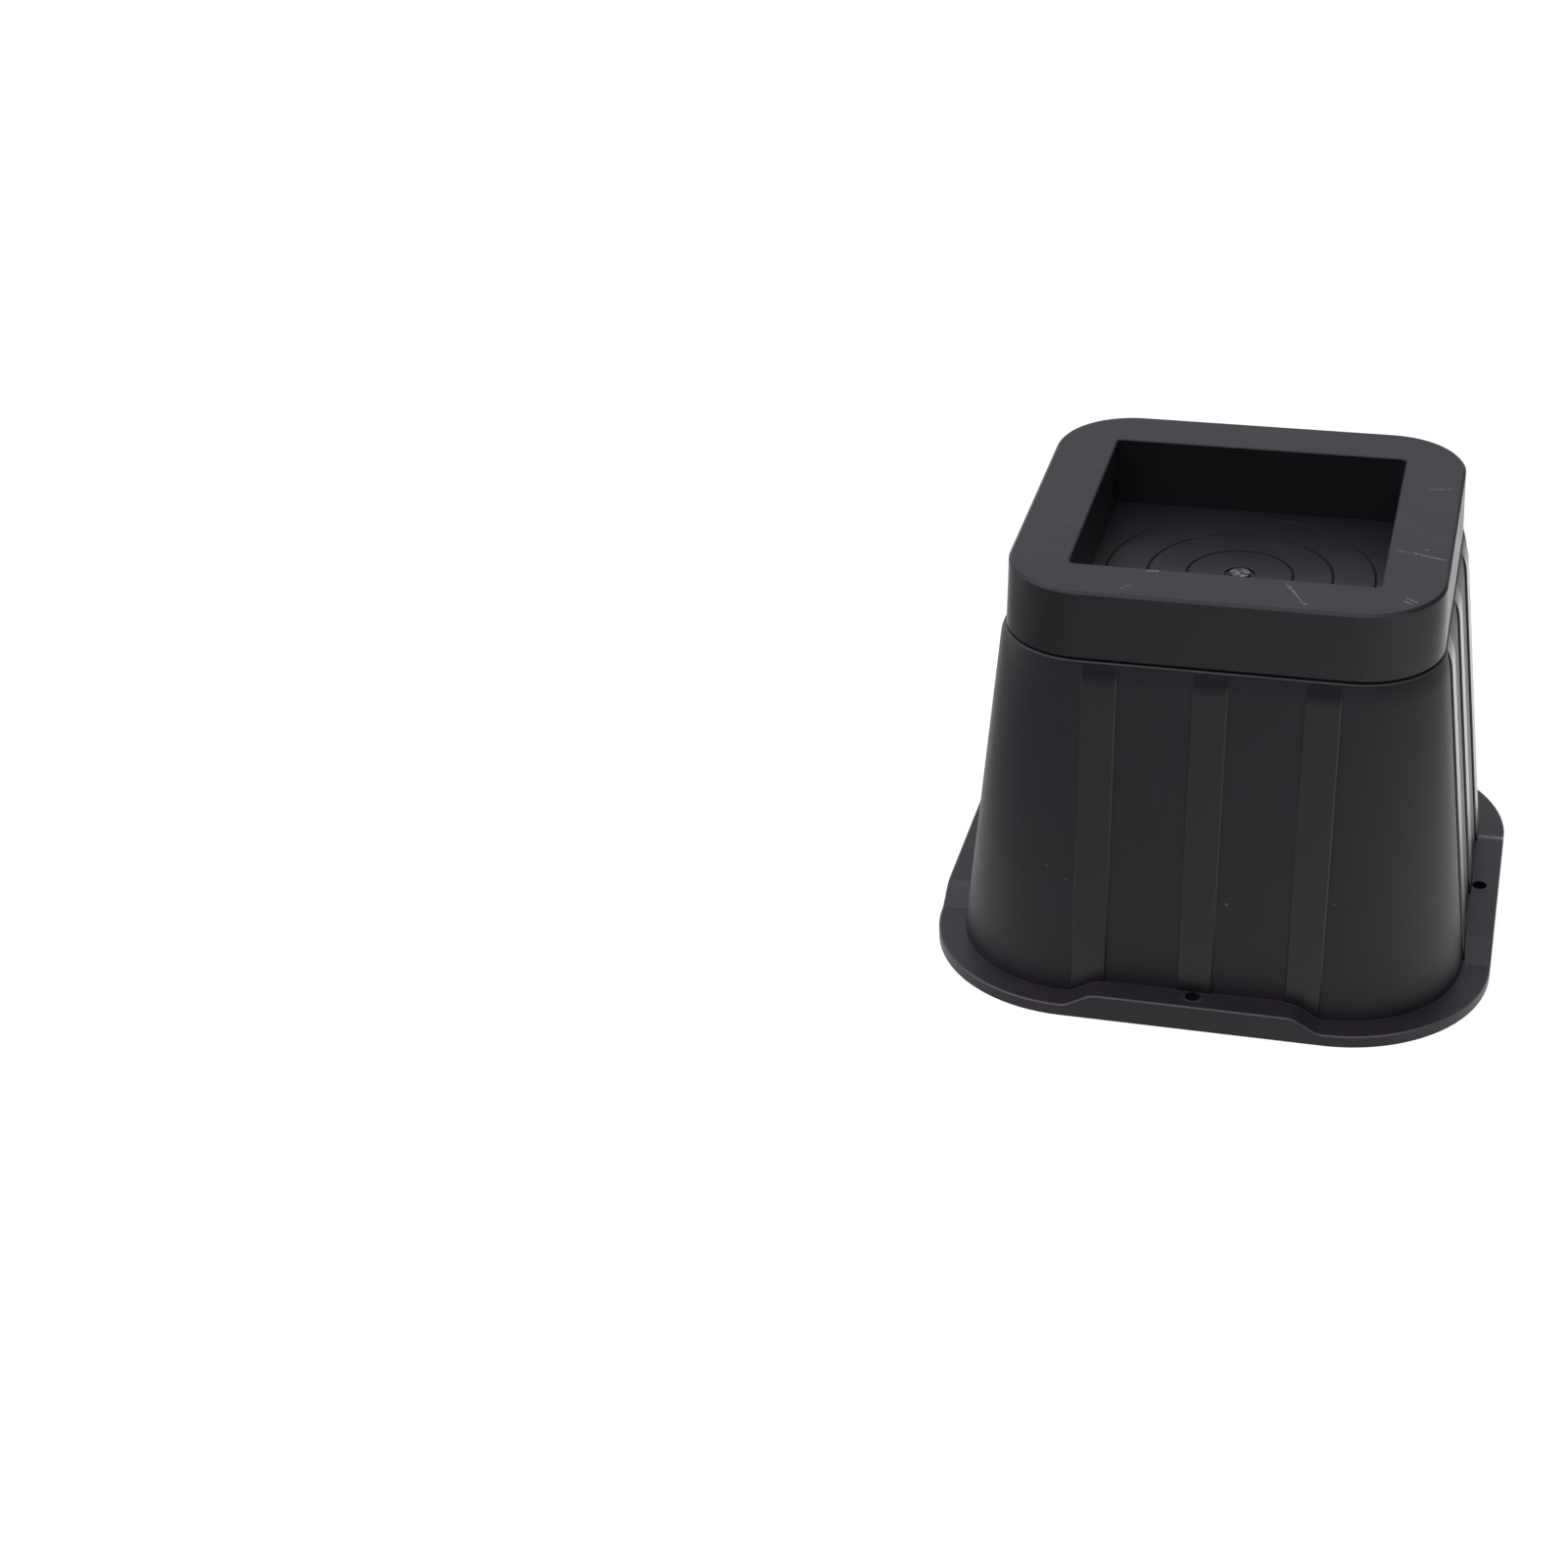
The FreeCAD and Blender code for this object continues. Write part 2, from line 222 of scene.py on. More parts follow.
def vector(tree, operation, *values):
    """Sum on vectors: its number where it makes one, or else its vector."""
    node = add(tree, "ShaderNodeVectorMath", dict(enumerate(values)), operation=operation)
    makes_number = operation in ("LENGTH", "DISTANCE", "DOT_PRODUCT")
    return node.outputs["Value" if makes_number else "Vector"]


def scale(tree, value, factor):
    return add(tree, "ShaderNodeVectorMath", {0: value, "Scale": factor}, operation="SCALE")


def remap(tree, value, start, end, interpolation="LINEAR"):
    """Take the range start to the range end."""
    return add(tree, "ShaderNodeMapRange",
               {"Value": value, "From Min": start[0], "From Max": start[1],
                "To Min": end[0], "To Max": end[1]}, interpolation_type=interpolation)


def both(tree, *masks):
    """Where all the masks hold."""
    return reduce(lambda one, other: calc(tree, "MULTIPLY", one, other), masks)


def either(tree, *masks):
    """Where any of the masks holds."""
    return reduce(lambda one, other: calc(tree, "MAXIMUM", one, other), masks)


def blend(tree, factor, first, second):
    """Mix of two numbers."""
    return add(tree, "ShaderNodeMix", {"Factor": factor, 2: first, 3: second})


def blend_colours(tree, factor, first, second, blend_type="MIX"):
    """Mix of two colours."""
    return add(tree, "ShaderNodeMix", {"Factor": factor, 6: first, 7: second},
               data_type="RGBA", blend_type=blend_type).outputs[2]


def noise(tree, place, size, **settings):
    """Noise whose grains are as long as size."""
    return add(tree, "ShaderNodeTexNoise", {"Vector": place, "Scale": 1 / size, **settings})


def new_material(name):
    material = bpy.data.materials.new(name)
    material.use_nodes = True
    material.node_tree.nodes.clear()
    return material


def deselect():
    for obj in bpy.context.selected_objects:
        obj.select_set(False)


class RiserFinish(bpy.types.PropertyGroup):
    """Surface of the moulded body."""

    plastic: bpy.props.FloatVectorProperty(
        name="Plastic", description="Colour of the plastic",
        subtype="COLOR", min=0, max=1, default=linear("#2d292f"),
    )
    # Also the colour of the painted highlights along the edges
    wear_and_highlights: bpy.props.FloatVectorProperty(
        name="Wear", description="Colour of scuffs, specks and torn plastic",
        subtype="COLOR", min=0, max=1, default=linear("#8f8c91"),
    )
    grain: bpy.props.FloatProperty(
        name="Spark grain", description="Width of one grain of the sparked skin",
        subtype="DISTANCE", unit="LENGTH", min=0.0001, default=0.8 * MM,
    )
    grain_depth: bpy.props.FloatProperty(
        name="Grain depth", description="Height of the sparked skin's grain",
        subtype="DISTANCE", unit="LENGTH", min=0, default=0.07 * MM,
    )
    skin_roughness: bpy.props.FloatProperty(
        name="Sparked skin", description="Roughness of the sparked skin between the strips",
        subtype="FACTOR", min=0, max=1, default=0.52,
    )
    strip_roughness: bpy.props.FloatProperty(
        name="Strips", description="Roughness of the raised strips",
        subtype="FACTOR", min=0, max=1, default=0.31,
    )
    plain_roughness: bpy.props.FloatProperty(
        name="Plain faces", description="Roughness of collar, rim, flange and inside",
        subtype="FACTOR", min=0, max=1, default=0.42,
    )
    floor_roughness: bpy.props.FloatProperty(
        name="Pocket floor", description="Roughness of the pocket's floor",
        subtype="FACTOR", min=0, max=1, default=0.35,
    )


class RiserGate(bpy.types.PropertyGroup):
    """Torn stub in the middle of the pocket's floor."""

    width: bpy.props.FloatProperty(
        name="Width", description="Across the torn stub",
        subtype="DISTANCE", unit="LENGTH", min=0.001, default=6.6 * MM,
    )
    height: bpy.props.FloatProperty(
        name="Height", description="Mean height of the torn face above the stub",
        subtype="DISTANCE", unit="LENGTH", min=0.0001, default=0.3 * MM,
    )
    tear: bpy.props.FloatProperty(
        name="Tear", description="How far the torn face rises and falls",
        subtype="DISTANCE", unit="LENGTH", min=0, default=0.6 * MM,
    )


class RiserStage(bpy.types.PropertyGroup):
    """Floor, light and camera."""

    floor: bpy.props.FloatVectorProperty(
        name="Floor", description="Colour of the floor as the riser sees it",
        subtype="COLOR", min=0, max=1, default=linear("#888888"),
    )
    floor_width: bpy.props.FloatProperty(
        name="Floor width", description="Side of the square floor",
        subtype="DISTANCE", unit="LENGTH", min=1, default=16.0,
    )
    softbox_width: bpy.props.FloatProperty(
        name="Softbox", description="Side of the square lamp overhead",
        subtype="DISTANCE", unit="LENGTH", min=0.1, default=2.4,
    )
    softbox_power: bpy.props.FloatProperty(
        name="Softbox power", description="Power of the lamp overhead",
        subtype="POWER", unit="POWER", min=0, default=20.0,
    )
    camera_place: bpy.props.FloatVectorProperty(
        name="Camera", description="Where the camera stands",
        subtype="TRANSLATION", unit="LENGTH", default=(0.09181, -0.85279, 0.54121),
    )
    azimuth: bpy.props.FloatProperty(
        name="Azimuth", description="Camera's turn round the riser",
        subtype="ANGLE", unit="ROTATION", default=math.radians(16.17),
    )
    elevation: bpy.props.FloatProperty(
        name="Elevation", description="Camera's angle above the horizon",
        subtype="ANGLE", unit="ROTATION", default=math.radians(30.38),
    )
    roll: bpy.props.FloatProperty(
        name="Roll", description="Camera's turn about its own line of sight",
        subtype="ANGLE", unit="ROTATION", default=math.radians(-2.58),
    )
    lens: bpy.props.FloatProperty(
        name="Lens", description="Focal length on a 36 mm sensor",
        subtype="DISTANCE_CAMERA", unit="CAMERA", min=10, default=67.43,
    )


def distance_to_line(tree, place, start, end):
    """Distance in millimetres from a place on the surface to a short line."""
    run = Vector(end) - Vector(start)
    offset = vector(tree, "SUBTRACT", place, start)
    along = vector(tree, "DOT_PRODUCT", offset, run / run.length_squared)
    share = add(tree, "ShaderNodeClamp", {"Value": along})
    foot = scale(tree, tuple(run), share)
    return vector(tree, "LENGTH", vector(tree, "SUBTRACT", offset, foot))


def measure(tree):
    """Where a point of the surface lies, in millimetres.

    The four sides and corners are alike, so they are folded onto one.
    """
    at = SimpleNamespace()
    at.object = add(tree, "ShaderNodeTexCoord").outputs["Object"]
    at.place = scale(tree, at.object, 1 / MM)
    at.back, at.up = add(tree, "ShaderNodeSeparateXYZ", {0: at.place}).outputs[1:]
    plan = vector(tree, "MULTIPLY", at.place, (1, 1, 0))
    at.radius = vector(tree, "LENGTH", plan)
    at.folded = vector(tree, "ABSOLUTE", plan)
    x, y = add(tree, "ShaderNodeSeparateXYZ", {0: at.folded}).outputs[:2]
    at.along = calc(tree, "MINIMUM", x, y)
    at.far = calc(tree, "MAXIMUM", x, y)

    # Distance out from the middle, measured square on the sides and round at the corners
    past = vector(tree, "SUBTRACT", at.folded, (CORNER_AXIS, CORNER_AXIS, 0))
    outer = vector(tree, "MAXIMUM", past, (0, 0, 0))
    at.reach = calc(tree, "ADD", vector(tree, "LENGTH", outer), CORNER_AXIS)
    # and out from the plain leaning wall
    upright = calc(tree, "MULTIPLY_ADD", at.up, BODY_LEAN, at.reach)
    at.proud = calc(tree, "SUBTRACT", upright, FOOT_HALF)

    second_gap = calc(tree, "ABSOLUTE", calc(tree, "SUBTRACT", at.along, STRIP_PITCH))
    at.strip_gap = calc(tree, "MINIMUM", at.along, second_gap)
    flat_place = add(tree, "ShaderNodeCombineXYZ", {0: at.far, 1: at.along, 2: 0.0})
    at.hole_gap = vector(tree, "DISTANCE", flat_place, (HOLE_REACH, 0, 0))
    # Height where the bevel of flange, ramp or pad begins
    at.bevel = remap(tree, at.along, (PAD_END, RAMP_END),
                     (PAD_TOP - EDGE_DROP, FLANGE_TOP - EDGE_DROP), "SMOOTHSTEP")
    return at


def tell_faces(tree, at):
    """Masks of the riser's faces."""
    face = SimpleNamespace()
    # Strips and the sparked skin between them, both on the body's outside only
    face.in_strip = calc(tree, "LESS_THAN", at.strip_gap, STRIP_HALF + MARGIN)
    body = both(
        tree,
        calc(tree, "GREATER_THAN", at.proud, WALL_INNER),
        calc(tree, "LESS_THAN", at.proud, WALL_OUTER),
        calc(tree, "GREATER_THAN", at.up, FLANGE_TOP + MARGIN),
        calc(tree, "LESS_THAN", at.up, SEAM + MARGIN),
    )
    face.strip = both(tree, body, face.in_strip)
    face.skin = calc(tree, "SUBTRACT", body, face.strip)
    # All other faces are plain
    face.plain = calc(tree, "SUBTRACT", 1.0, body)
    face.past_collar = calc(tree, "GREATER_THAN", at.reach, COLLAR_HALF)
    over_seam = calc(tree, "GREATER_THAN", at.up, COLLAR_START)
    face.collar = both(tree, over_seam, face.past_collar)
    face.over_floor = calc(tree, "GREATER_THAN", at.up, SEAM - FLOOR_BAND)
    face.pocket_floor = both(
        tree, face.over_floor,
        calc(tree, "LESS_THAN", at.up, SEAM + FLOOR_BAND),
        calc(tree, "LESS_THAN", at.far, POCKET_HALF + MARGIN),
    )
    face.foot = calc(tree, "LESS_THAN", at.up, PAD_TOP + MARGIN)
    face.at_edge = calc(tree, "GREATER_THAN", at.reach, EDGE_REACH)
    face.at_top = calc(tree, "GREATER_THAN", at.up, at.bevel)
    return face


def find_scuffs(tree, at):
    """How worn the surface is by scuffs and specks."""
    marks = list(RIM_SCUFFS)
    for x, z in FRONT_SPECKS:
        corner_radius = FOOT_HALF - BODY_LEAN * z - CORNER_AXIS
        past_corner = max(abs(x) - CORNER_AXIS, 0)
        y = -CORNER_AXIS - math.sqrt(corner_radius ** 2 - past_corner ** 2)
        marks.append(((x - SPECK_HALF, y, z), (x + SPECK_HALF, y, z), SPECK_FADE, 1.0))
    worn = [
        remap(tree, distance_to_line(tree, at.place, start, end),
              (SCUFF_CORE, half_width), (strength, 0.0))
        for start, end, half_width, strength in marks
    ]
    hairs = noise(tree, at.object, HAIR_SIZE * MM, Detail=2.0)
    return both(tree, either(tree, *worn), remap(tree, hairs, HAIR_SHARES, (0.0, 1.0)))


def find_painted_shade(tree, at, face):
    """Where painted shade makes the surface rough, and how much it darkens it."""
    lines = [calc(tree, "COMPARE", at.radius, ring, RING_LINE) for ring in RING_RADII]
    in_pocket = calc(tree, "LESS_THAN", at.radius, POCKET_HALF)
    rings = both(tree, either(tree, *lines), in_pocket, face.over_floor)
    groove = both(tree, calc(tree, "COMPARE", at.up, GROOVE_MIDDLE, GROOVE_HALF),
                  face.past_collar)
    holes = calc(tree, "LESS_THAN", at.hole_gap, HOLE_RADIUS + MARGIN)
    over_bevel = calc(tree, "SUBTRACT", at.up, at.bevel)
    strip_feet = both(tree, remap(tree, over_bevel, STRIP_FOOT, (STRIP_FOOT_DARK, 0.0)),
                      face.strip)
    # All of it is painted shade: dark paint in hollows and corners where light doesn't reach
    painted_shade = either(tree, rings, groove, holes, strip_feet)
    # In the rings the painted shade thins out towards the back
    thin = remap(tree, at.back, RING_THINS, (1.0, RING_LEAST))
    return painted_shade, both(tree, painted_shade, blend(tree, rings, 1.0, thin))


def find_painted_highlights(tree, at, face):
    """How pale painted highlights make the surface along its edges."""
    # Painted highlights along the bevels of flange, ramps and pads
    bevels = both(tree, face.at_edge, face.at_top)
    # Painted highlight along the foot of the body, paler before the strips
    stand = calc(tree, "MULTIPLY_ADD", face.in_strip, -STRIP_PROUD, at.proud)
    foot_top = calc(tree, "ADD", at.bevel, 2 * EDGE_DROP)
    foot = both(
        tree,
        calc(tree, "COMPARE", stand, *FOOT_LINE),
        calc(tree, "LESS_THAN", at.up, foot_top),
        calc(tree, "GREATER_THAN", at.up, FOOT_LINE_START),
    )
    foot_pale = calc(tree, "MULTIPLY_ADD", face.in_strip, STRIP_FOOT_PALE, FOOT_PALE)
    # Painted highlights along each upright edge of a strip
    strips = both(tree, calc(tree, "COMPARE", at.strip_gap, STRIP_HALF - STRIP_LINE, STRIP_LINE),
                  face.strip)
    # Painted highlight on the lip of the body, under the collar
    lip = both(tree, calc(tree, "COMPARE", at.up, *LIP_LINE), face.past_collar)
    # Painted highlight on the outer half of each screw hole's rim
    outward = remap(tree, at.far, (HOLE_REACH, HOLE_REACH + RIM_SPREAD), (0.0, RIM_PALE))
    rims = both(tree, calc(tree, "COMPARE", at.hole_gap, *RIM_LINE), face.at_top)
    # Painted highlight along the shoulder
    shoulder_highlight = both(tree, calc(tree, "COMPARE", at.up, *SHOULDER_HIGHLIGHT_LINE), face.skin)
    pale = 0.0
    for line, share in (
        (bevels, BEVEL_PALE), (foot, foot_pale), (strips, STRIP_PALE),
        (lip, LIP_PALE), (rims, outward), (shoulder_highlight, SHOULDER_HIGHLIGHT_PALE),
    ):
        pale = calc(tree, "MULTIPLY_ADD", line, share, pale)
    return pale


def find_underside_marks(tree, at):
    """Ejector marks, and a shallow panel along each side, on the foot's underside."""
    gaps = [vector(tree, "DISTANCE", at.folded, pin)
            for pin in ((PIN_NEAR, PIN_FAR, 0.0), (PIN_FAR, PIN_NEAR, 0.0))]
    pins = remap(tree, calc(tree, "MINIMUM", *gaps),
                 (PIN_RADIUS - PIN_SOFT, PIN_RADIUS + PIN_SOFT), (1.0, 0.0))
    panels = both(
        tree,
        remap(tree, at.along, (PANEL_HALF - PANEL_SOFT, PANEL_HALF), (1.0, 0.0)),
        remap(tree, at.far, (PANEL_REACH - PANEL_SOFT, PANEL_REACH), (1.0, 0.0)),
    )
    underneath = calc(tree, "LESS_THAN", at.up, MARGIN)
    return both(tree, either(tree, pins, panels), underneath)


def moulded_polypropylene(finish):
    """Injection-moulded black polypropylene.

    The tool was spark-eroded between the strips and polished on them, so the
    skin is a fine matt grain that glows at grazing angles, and the strips,
    collar and flange are smoother, with a broad soft sheen.
    """
    material = new_material("moulded_black_polypropylene")
    tree = material.node_tree
    at = measure(tree)
    face = tell_faces(tree, at)
    worn = find_scuffs(tree, at)
    painted_shade, painted_shade_share = find_painted_shade(tree, at, face)
    painted_highlights = find_painted_highlights(tree, at, face)
    # The real spark grain is about 0.15 mm, too fine to show, so it is drawn larger
    grain = noise(tree, at.object, finish.grain, Detail=2.0, Roughness=0.6)
    waves = noise(tree, at.object, WAVE_LENGTH * MM, Detail=1.0)

    # Colour
    clean = blend_colours(
        tree, waves,
        (*((1 - TONE_SPREAD) * c for c in finish.plastic), 1),
        (*((1 + TONE_SPREAD) * c for c in finish.plastic), 1),
    )
    # Flange and pads: a lighter colour is painted light on their tops, a darker one painted
    # shade on their upright sides
    shaded_foot_side = both(tree, calc(tree, "GREATER_THAN", face.at_edge, face.at_top), face.foot)
    tone_and_painted_light = calc(tree, "MULTIPLY_ADD", face.foot, FOOT_PAINTED_LIGHT, PLAIN_TONE)
    tone_and_painted_light = calc(tree, "MULTIPLY_ADD", shaded_foot_side, FOOT_SIDE_PAINTED_SHADE, tone_and_painted_light)
    toned_and_lit = blend_colours(tree, face.plain, clean, tone_and_painted_light, "MULTIPLY")
    # Painted shade in the rings, the groove, the holes and the strips' feet
    shade_painted = blend_colours(tree, painted_shade_share, toned_and_lit, (*linear(PAINTED_SHADE_COLOUR), 1))
    outside_painted_shade = calc(tree, "SUBTRACT", 1.0, painted_shade)
    # Painted highlights and real scuffs and specks turn the colour pale
    pale = both(tree, calc(tree, "ADD", painted_highlights, worn), outside_painted_shade)
    colour = blend_colours(tree, pale, shade_painted, (*finish.wear_and_highlights, 1))

    # Gloss
    gloss = blend(tree, face.strip, finish.plain_roughness, finish.strip_roughness)
    gloss = blend(tree, face.skin, gloss, finish.skin_roughness)
    gloss = blend(tree, face.pocket_floor, gloss, finish.floor_roughness)
    cloud = both(tree, calc(tree, "SUBTRACT", waves, WAVE_MIDDLE), face.plain)
    gloss = calc(tree, "MULTIPLY_ADD", cloud, GLOSS_SPREAD, gloss)
    roughness = calc(tree, "MAXIMUM", gloss, painted_shade)

    # Relief
    grained = calc(tree, "MULTIPLY_ADD", face.collar, COLLAR_GRAIN, face.skin)
    relief = add(tree, "ShaderNodeBump",
                 {"Strength": grained, "Distance": finish.grain_depth, "Height": grain})
    wavy = add(tree, "ShaderNodeBump",
               {"Strength": face.plain, "Distance": WAVE_DEPTH * MM, "Height": waves,
                "Normal": relief})
    marked = add(tree, "ShaderNodeBump",
                 {"Strength": 1.0, "Distance": PANEL_DEPTH * MM,
                  "Height": find_underside_marks(tree, at), "Normal": wavy}, invert=True)

    shader = add(tree, "ShaderNodeBsdfPrincipled",
                 {"Base Color": colour, "Roughness": roughness, "IOR": REFRACTION,
                  "Normal": marked})
    add(tree, "ShaderNodeOutputMaterial", {"Surface": shader})
    return material


def torn_polypropylene(finish):
    """Polypropylene torn at the gate, stressed to a pale grey on its ridges."""
    material = new_material("torn_polypropylene")
    tree = material.node_tree
    object_place = add(tree, "ShaderNodeTexCoord").outputs["Object"]
    ridges = noise(tree, object_place, RIDGE_SIZE * MM, Detail=3.0)
    height = add(tree, "ShaderNodeSeparateXYZ", {0: object_place}).outputs["Z"]
    # The highest ridges are the palest
    lift = remap(tree, height, (STUB_TOP * MM, (STUB_TOP + RIDGE_TOP) * MM),
                 (0.0, RIDGE_LIFT))
    whitened = remap(tree, calc(tree, "ADD", ridges, lift), RIDGE_PALE, (0.0, 1.0))
    colour = blend_colours(tree, whitened, (*finish.plastic, 1), (*finish.wear_and_highlights, 1))
    relief = add(tree, "ShaderNodeBump",
                 {"Strength": 1.0, "Distance": RIDGE_DEPTH * MM, "Height": ridges})
    shader = add(tree, "ShaderNodeBsdfPrincipled",
                 {"Base Color": colour, "Roughness": TORN_ROUGHNESS, "IOR": REFRACTION,
                  "Normal": relief})
    add(tree, "ShaderNodeOutputMaterial", {"Surface": shader})
    return material


def seen_directly(tree):
    """Whether the camera sees the place, straight or through glass."""
    path = add(tree, "ShaderNodeLightPath").outputs
    return either(tree, path["Is Camera Ray"], path["Is Transmission Ray"])


class RISER_OT_body(bpy.types.Operator):
    """Give the moulded body its spark-textured black plastic"""

    bl_idname = "riser.body"
    bl_label = "Finish body"

    def execute(self, context):
        material = moulded_polypropylene(context.scene.riser_finish)
        for slot in riser_body.material_slots:
            slot.material = material
        return {"FINISHED"}


class RISER_OT_gate(bpy.types.Operator):
    """Model the torn stub of the gate in the pocket"""

    bl_idname = "riser.gate"
    bl_label = "Gate stub"

    def execute(self, context):
        gate = context.scene.riser_gate
        deselect()
        bpy.ops.mesh.primitive_cylinder_add(
            vertices=STUB_SIDES, radius=gate.width / 2, depth=gate.height,
            location=(0, 0, (STUB_TOP - STUB_SUNK) * MM + gate.height / 2),
        )
        stub = context.object
        stub.name = "gate_stub"
        bpy.ops.object.transform_apply(location=True, rotation=True, scale=True)

        bpy.ops.object.mode_set(mode="EDIT")
        bpy.ops.mesh.select_all(action="DESELECT")
        bpy.ops.mesh.select_mode(type="FACE")
        bpy.ops.object.mode_set(mode="OBJECT")
        for face in stub.data.polygons:
            face.select = face.normal.z > FACES_UP
        bpy.ops.object.mode_set(mode="EDIT")
        for _ in range(TEAR_RINGS):
            bpy.ops.mesh.inset(thickness=gate.width * TEAR_STEP)
        bpy.ops.mesh.poke()
        bpy.ops.object.mode_set(mode="OBJECT")

        torn = stub.vertex_groups.new(name="torn")
        top = max(vertex.co.z for vertex in stub.data.vertices)
        inner = [v.index for v in stub.data.vertices if v.co.z > top - TOP_BAND * MM
                 and v.co.xy.length < gate.width * TEAR_REACH]
        torn.add(inner, 1.0, "REPLACE")
        clouds = bpy.data.textures.new("gate_tear", "CLOUDS")
        clouds.noise_scale = TEAR_SIZE * MM
        tear = stub.modifiers.new("tear", "DISPLACE")
        tear.texture = clouds
        tear.texture_coords = "LOCAL"
        tear.direction = "Z"
        tear.mid_level = TEAR_MIDDLE
        tear.strength = gate.tear
        tear.vertex_group = torn.name
        bpy.ops.object.modifier_apply(modifier=tear.name)
        bpy.ops.object.shade_smooth_by_angle(angle=math.radians(TEAR_CREASE))
        stub.data.materials.clear()
        stub.data.materials.append(torn_polypropylene(context.scene.riser_finish))
        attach(stub, "root")
        return {"FINISHED"}


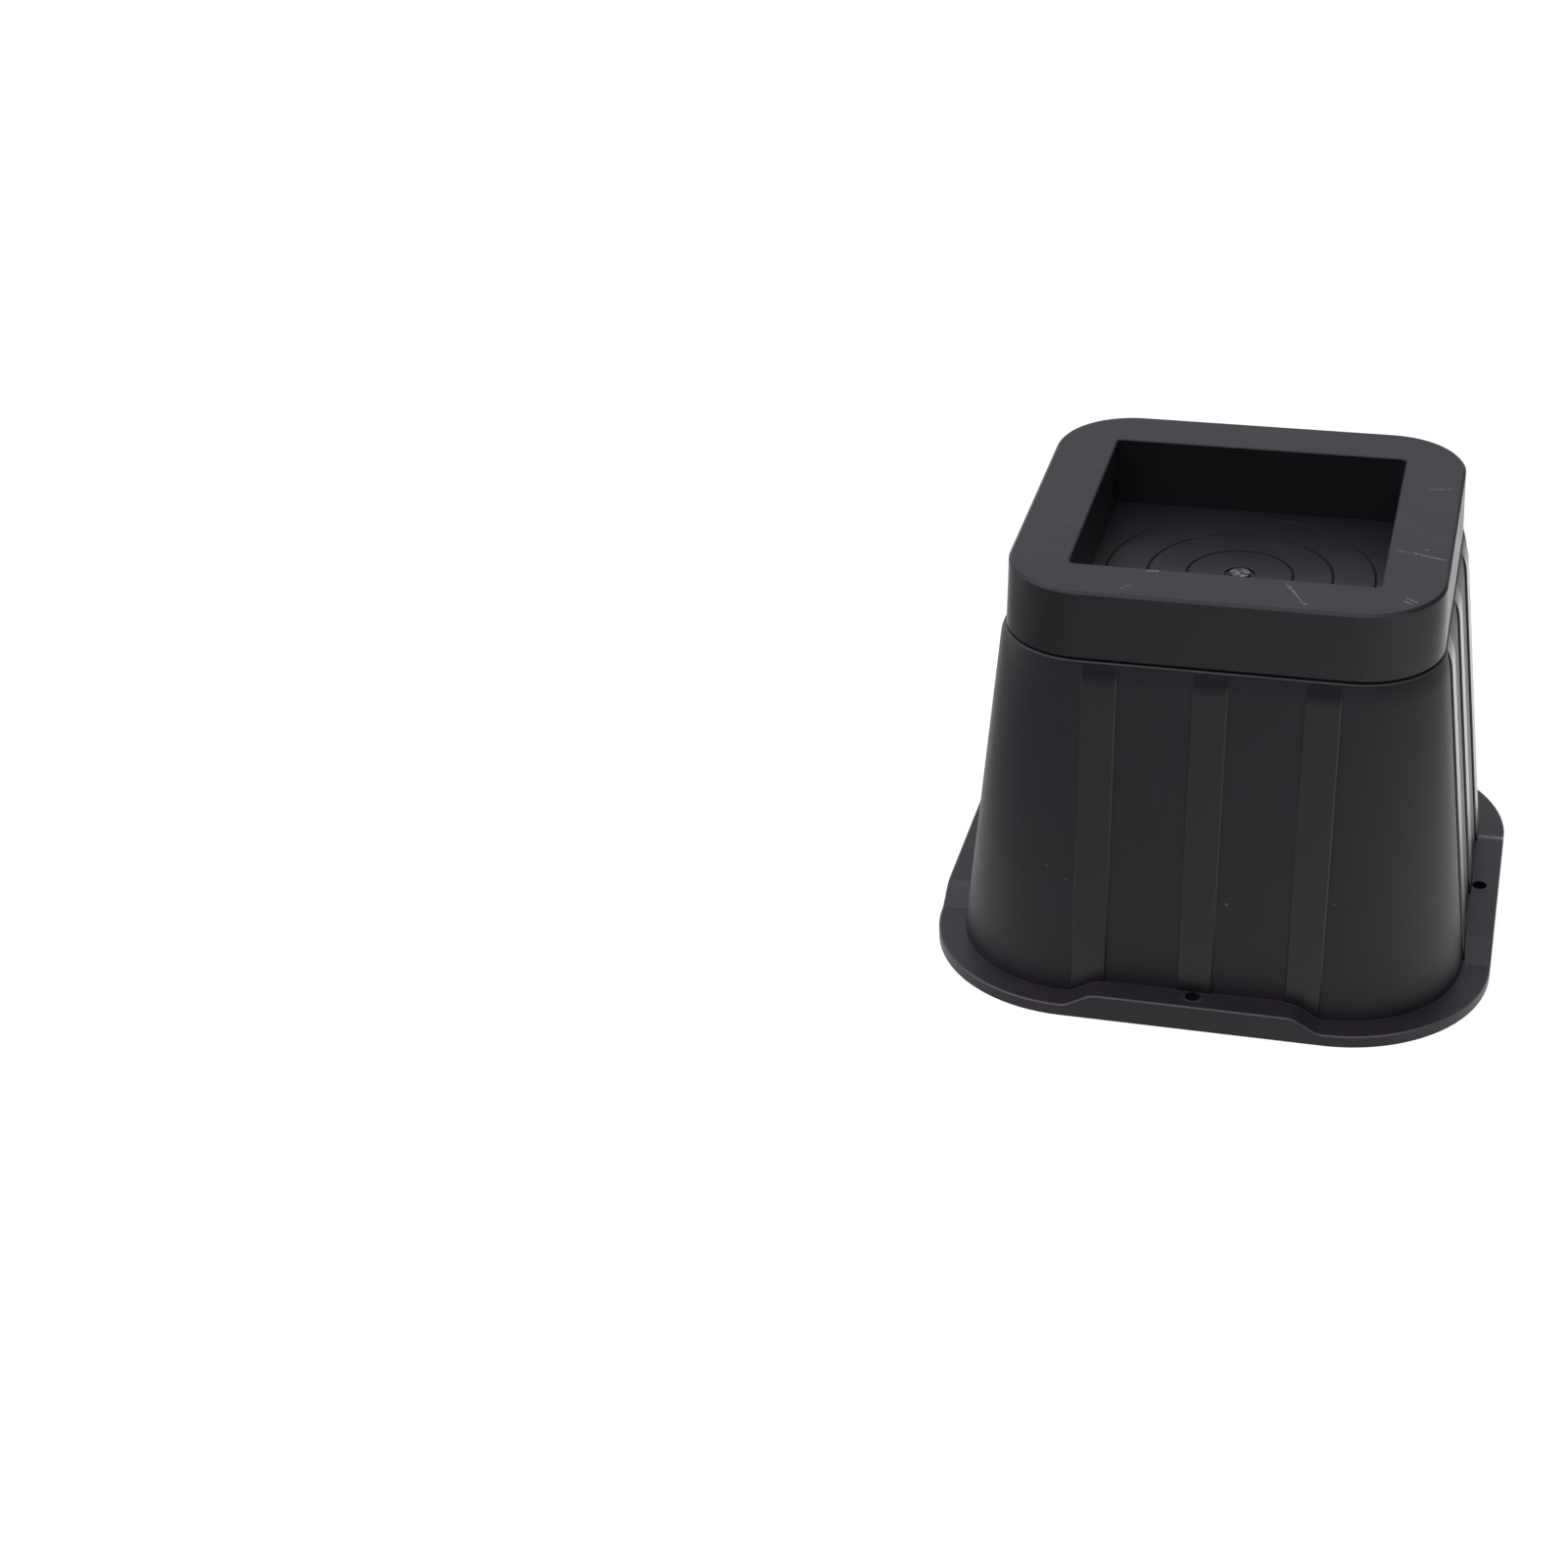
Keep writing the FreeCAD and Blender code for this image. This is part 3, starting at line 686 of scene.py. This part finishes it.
class RISER_OT_stage(bpy.types.Operator):
    """Lay the floor, light it and set up the camera"""

    bl_idname = "riser.stage"
    bl_label = "Stage"

    def execute(self, context):
        stage = context.scene.riser_stage
        deselect()
        bpy.ops.mesh.primitive_plane_add(size=stage.floor_width, location=(0, 0, 0))
        floor = context.object
        floor.name = "floor"
        floor.data.materials.append(self.floor_material(stage))
        self.light_world(context.scene)
        self.hang_softbox(context)
        self.place_camera(context)
        context.scene.view_settings.view_transform = "Standard"
        return {"FINISHED"}

    def hang_softbox(self, context):
        """Square lamp high above the riser, towards the front left."""
        stage = context.scene.riser_stage
        lamp = bpy.data.lights.new("overhead_softbox", "AREA")
        lamp.size = stage.softbox_width
        lamp.energy = stage.softbox_power
        lamp.color = LIGHT
        softbox = bpy.data.objects.new("overhead_softbox", lamp)
        softbox.location = SOFTBOX_PLACE
        aim = Vector(SOFTBOX_AIM) - softbox.location
        softbox.rotation_euler = aim.to_track_quat("-Z", "Y").to_euler()
        context.collection.objects.link(softbox)

    def place_camera(self, context):
        """Camera where the photograph was taken from."""
        stage = context.scene.riser_stage
        camera = bpy.data.cameras.new("camera")
        camera.lens = stage.lens
        camera.sensor_width = SENSOR_WIDTH
        holder = bpy.data.objects.new("camera", camera)
        context.collection.objects.link(holder)
        to_camera = Vector((
            math.sin(stage.azimuth) * math.cos(stage.elevation),
            -math.cos(stage.azimuth) * math.cos(stage.elevation),
            math.sin(stage.elevation),
        ))
        right = Vector((0, 0, 1)).cross(to_camera).normalized()
        upward = to_camera.cross(right)
        turned = Matrix((right, upward, to_camera)).transposed().to_4x4()
        roll = Matrix.Rotation(stage.roll, 4, "Z")
        holder.matrix_world = Matrix.Translation(stage.camera_place) @ turned @ roll
        context.scene.camera = holder

    def floor_material(self, stage):
        """Matt painted board, white to the camera and pale grey to the riser, with painted light
        and shade that glow only in the riser's reflections.
        """
        material = new_material("matt_white_board")
        tree = material.node_tree
        place = add(tree, "ShaderNodeTexCoord").outputs["Object"]
        x, y = add(tree, "ShaderNodeSeparateXYZ", {0: place}).outputs[:2]
        # Painted light: to glossy rays the floor glows behind the riser, fading to the front and
        # the right
        lit = remap(tree, y, *FLOOR_LIT, "SMOOTHSTEP")
        fade = remap(tree, x, *FLOOR_FADE, "SMOOTHSTEP")
        # with a soft painted pool of light at the front right
        from_pool = vector(tree, "DISTANCE", place, POOL_PLACE)
        pool = remap(tree, from_pool, *POOL_FALL, "SMOOTHSTEP")
        # and painted shade darkens a slanting band on the left, beside the riser and behind it
        beside = calc(tree, "MAXIMUM", y, SHADE_BAND_END)
        slanted = calc(tree, "MULTIPLY_ADD", beside, SHADE_BAND_SLANT, x)
        from_shade_band = calc(tree, "ABSOLUTE", calc(tree, "ADD", slanted, -SHADE_BAND_MIDDLE))
        shade = remap(tree, from_shade_band, *SHADE_BAND_FALL, "SMOOTHSTEP")
        pooled = calc(tree, "MULTIPLY_ADD", lit, fade, pool)
        path = add(tree, "ShaderNodeLightPath").outputs
        painted_glow = both(tree, path["Is Glossy Ray"], both(tree, pooled, shade))
        strength = calc(tree, "MULTIPLY_ADD", seen_directly(tree), FLOOR_WHITE, painted_glow)
        paint = add(tree, "ShaderNodeBsdfPrincipled",
                    {"Base Color": (*stage.floor, 1), "Roughness": 1.0,
                     "Specular IOR Level": 0.0})
        white = add(tree, "ShaderNodeEmission",
                    {"Color": (1, 1, 1, 1), "Strength": strength})
        surface = add(tree, "ShaderNodeAddShader", {0: paint, 1: white})
        add(tree, "ShaderNodeOutputMaterial", {"Surface": surface})
        return material

    def light_world(self, scene):
        """Bright walls behind and left of the riser, and darker ones in front and right."""
        world = bpy.data.worlds.new("studio")
        world.use_nodes = True
        scene.world = world
        tree = world.node_tree
        tree.nodes.clear()
        direction = add(tree, "ShaderNodeTexCoord").outputs["Generated"]
        azimuth = scene.riser_stage.azimuth
        front = (math.sin(azimuth), -math.cos(azimuth), FRONT_DROP)
        wall = remap(tree, vector(tree, "DOT_PRODUCT", direction, front), *WALL_LIGHT,
                     "SMOOTHSTEP")
        right = add(tree, "ShaderNodeSeparateXYZ", {0: direction}).outputs["X"]
        dimmed = remap(tree, right, *RIGHT_DIMMED, "SMOOTHSTEP")
        strength = blend(tree, seen_directly(tree), both(tree, wall, dimmed), 1.0)
        light = add(tree, "ShaderNodeBackground",
                    {"Color": (*LIGHT, 1), "Strength": strength})
        add(tree, "ShaderNodeOutputWorld", {"Surface": light})


class RISER_PT_panel(bpy.types.Panel):
    """Steps and settings of the riser's finish"""

    bl_idname = "RISER_PT_panel"
    bl_label = "Bed riser"
    bl_space_type = "VIEW_3D"
    bl_region_type = "UI"
    bl_category = "Riser"

    def draw(self, context):
        scene = context.scene
        for operator, settings in (
            (RISER_OT_body, scene.riser_finish),
            (RISER_OT_gate, scene.riser_gate),
            (RISER_OT_stage, scene.riser_stage),
        ):
            box = self.layout.box()
            box.operator(operator.bl_idname)
            for name in settings.__annotations__:
                box.prop(settings, name)


CLASSES = (
    RiserFinish, RiserGate, RiserStage,
    RISER_OT_body, RISER_OT_gate, RISER_OT_stage, RISER_PT_panel,
)


def register():
    for cls in CLASSES:
        bpy.utils.register_class(cls)
    bpy.types.Scene.riser_finish = bpy.props.PointerProperty(type=RiserFinish)
    bpy.types.Scene.riser_gate = bpy.props.PointerProperty(type=RiserGate)
    bpy.types.Scene.riser_stage = bpy.props.PointerProperty(type=RiserStage)


def unregister():
    del bpy.types.Scene.riser_stage
    del bpy.types.Scene.riser_gate
    del bpy.types.Scene.riser_finish
    for cls in reversed(CLASSES):
        bpy.utils.unregister_class(cls)


def main():
    register()
    bpy.ops.riser.body()
    bpy.ops.riser.gate()
    bpy.ops.riser.stage()


if __name__ == "__main__":
    main()
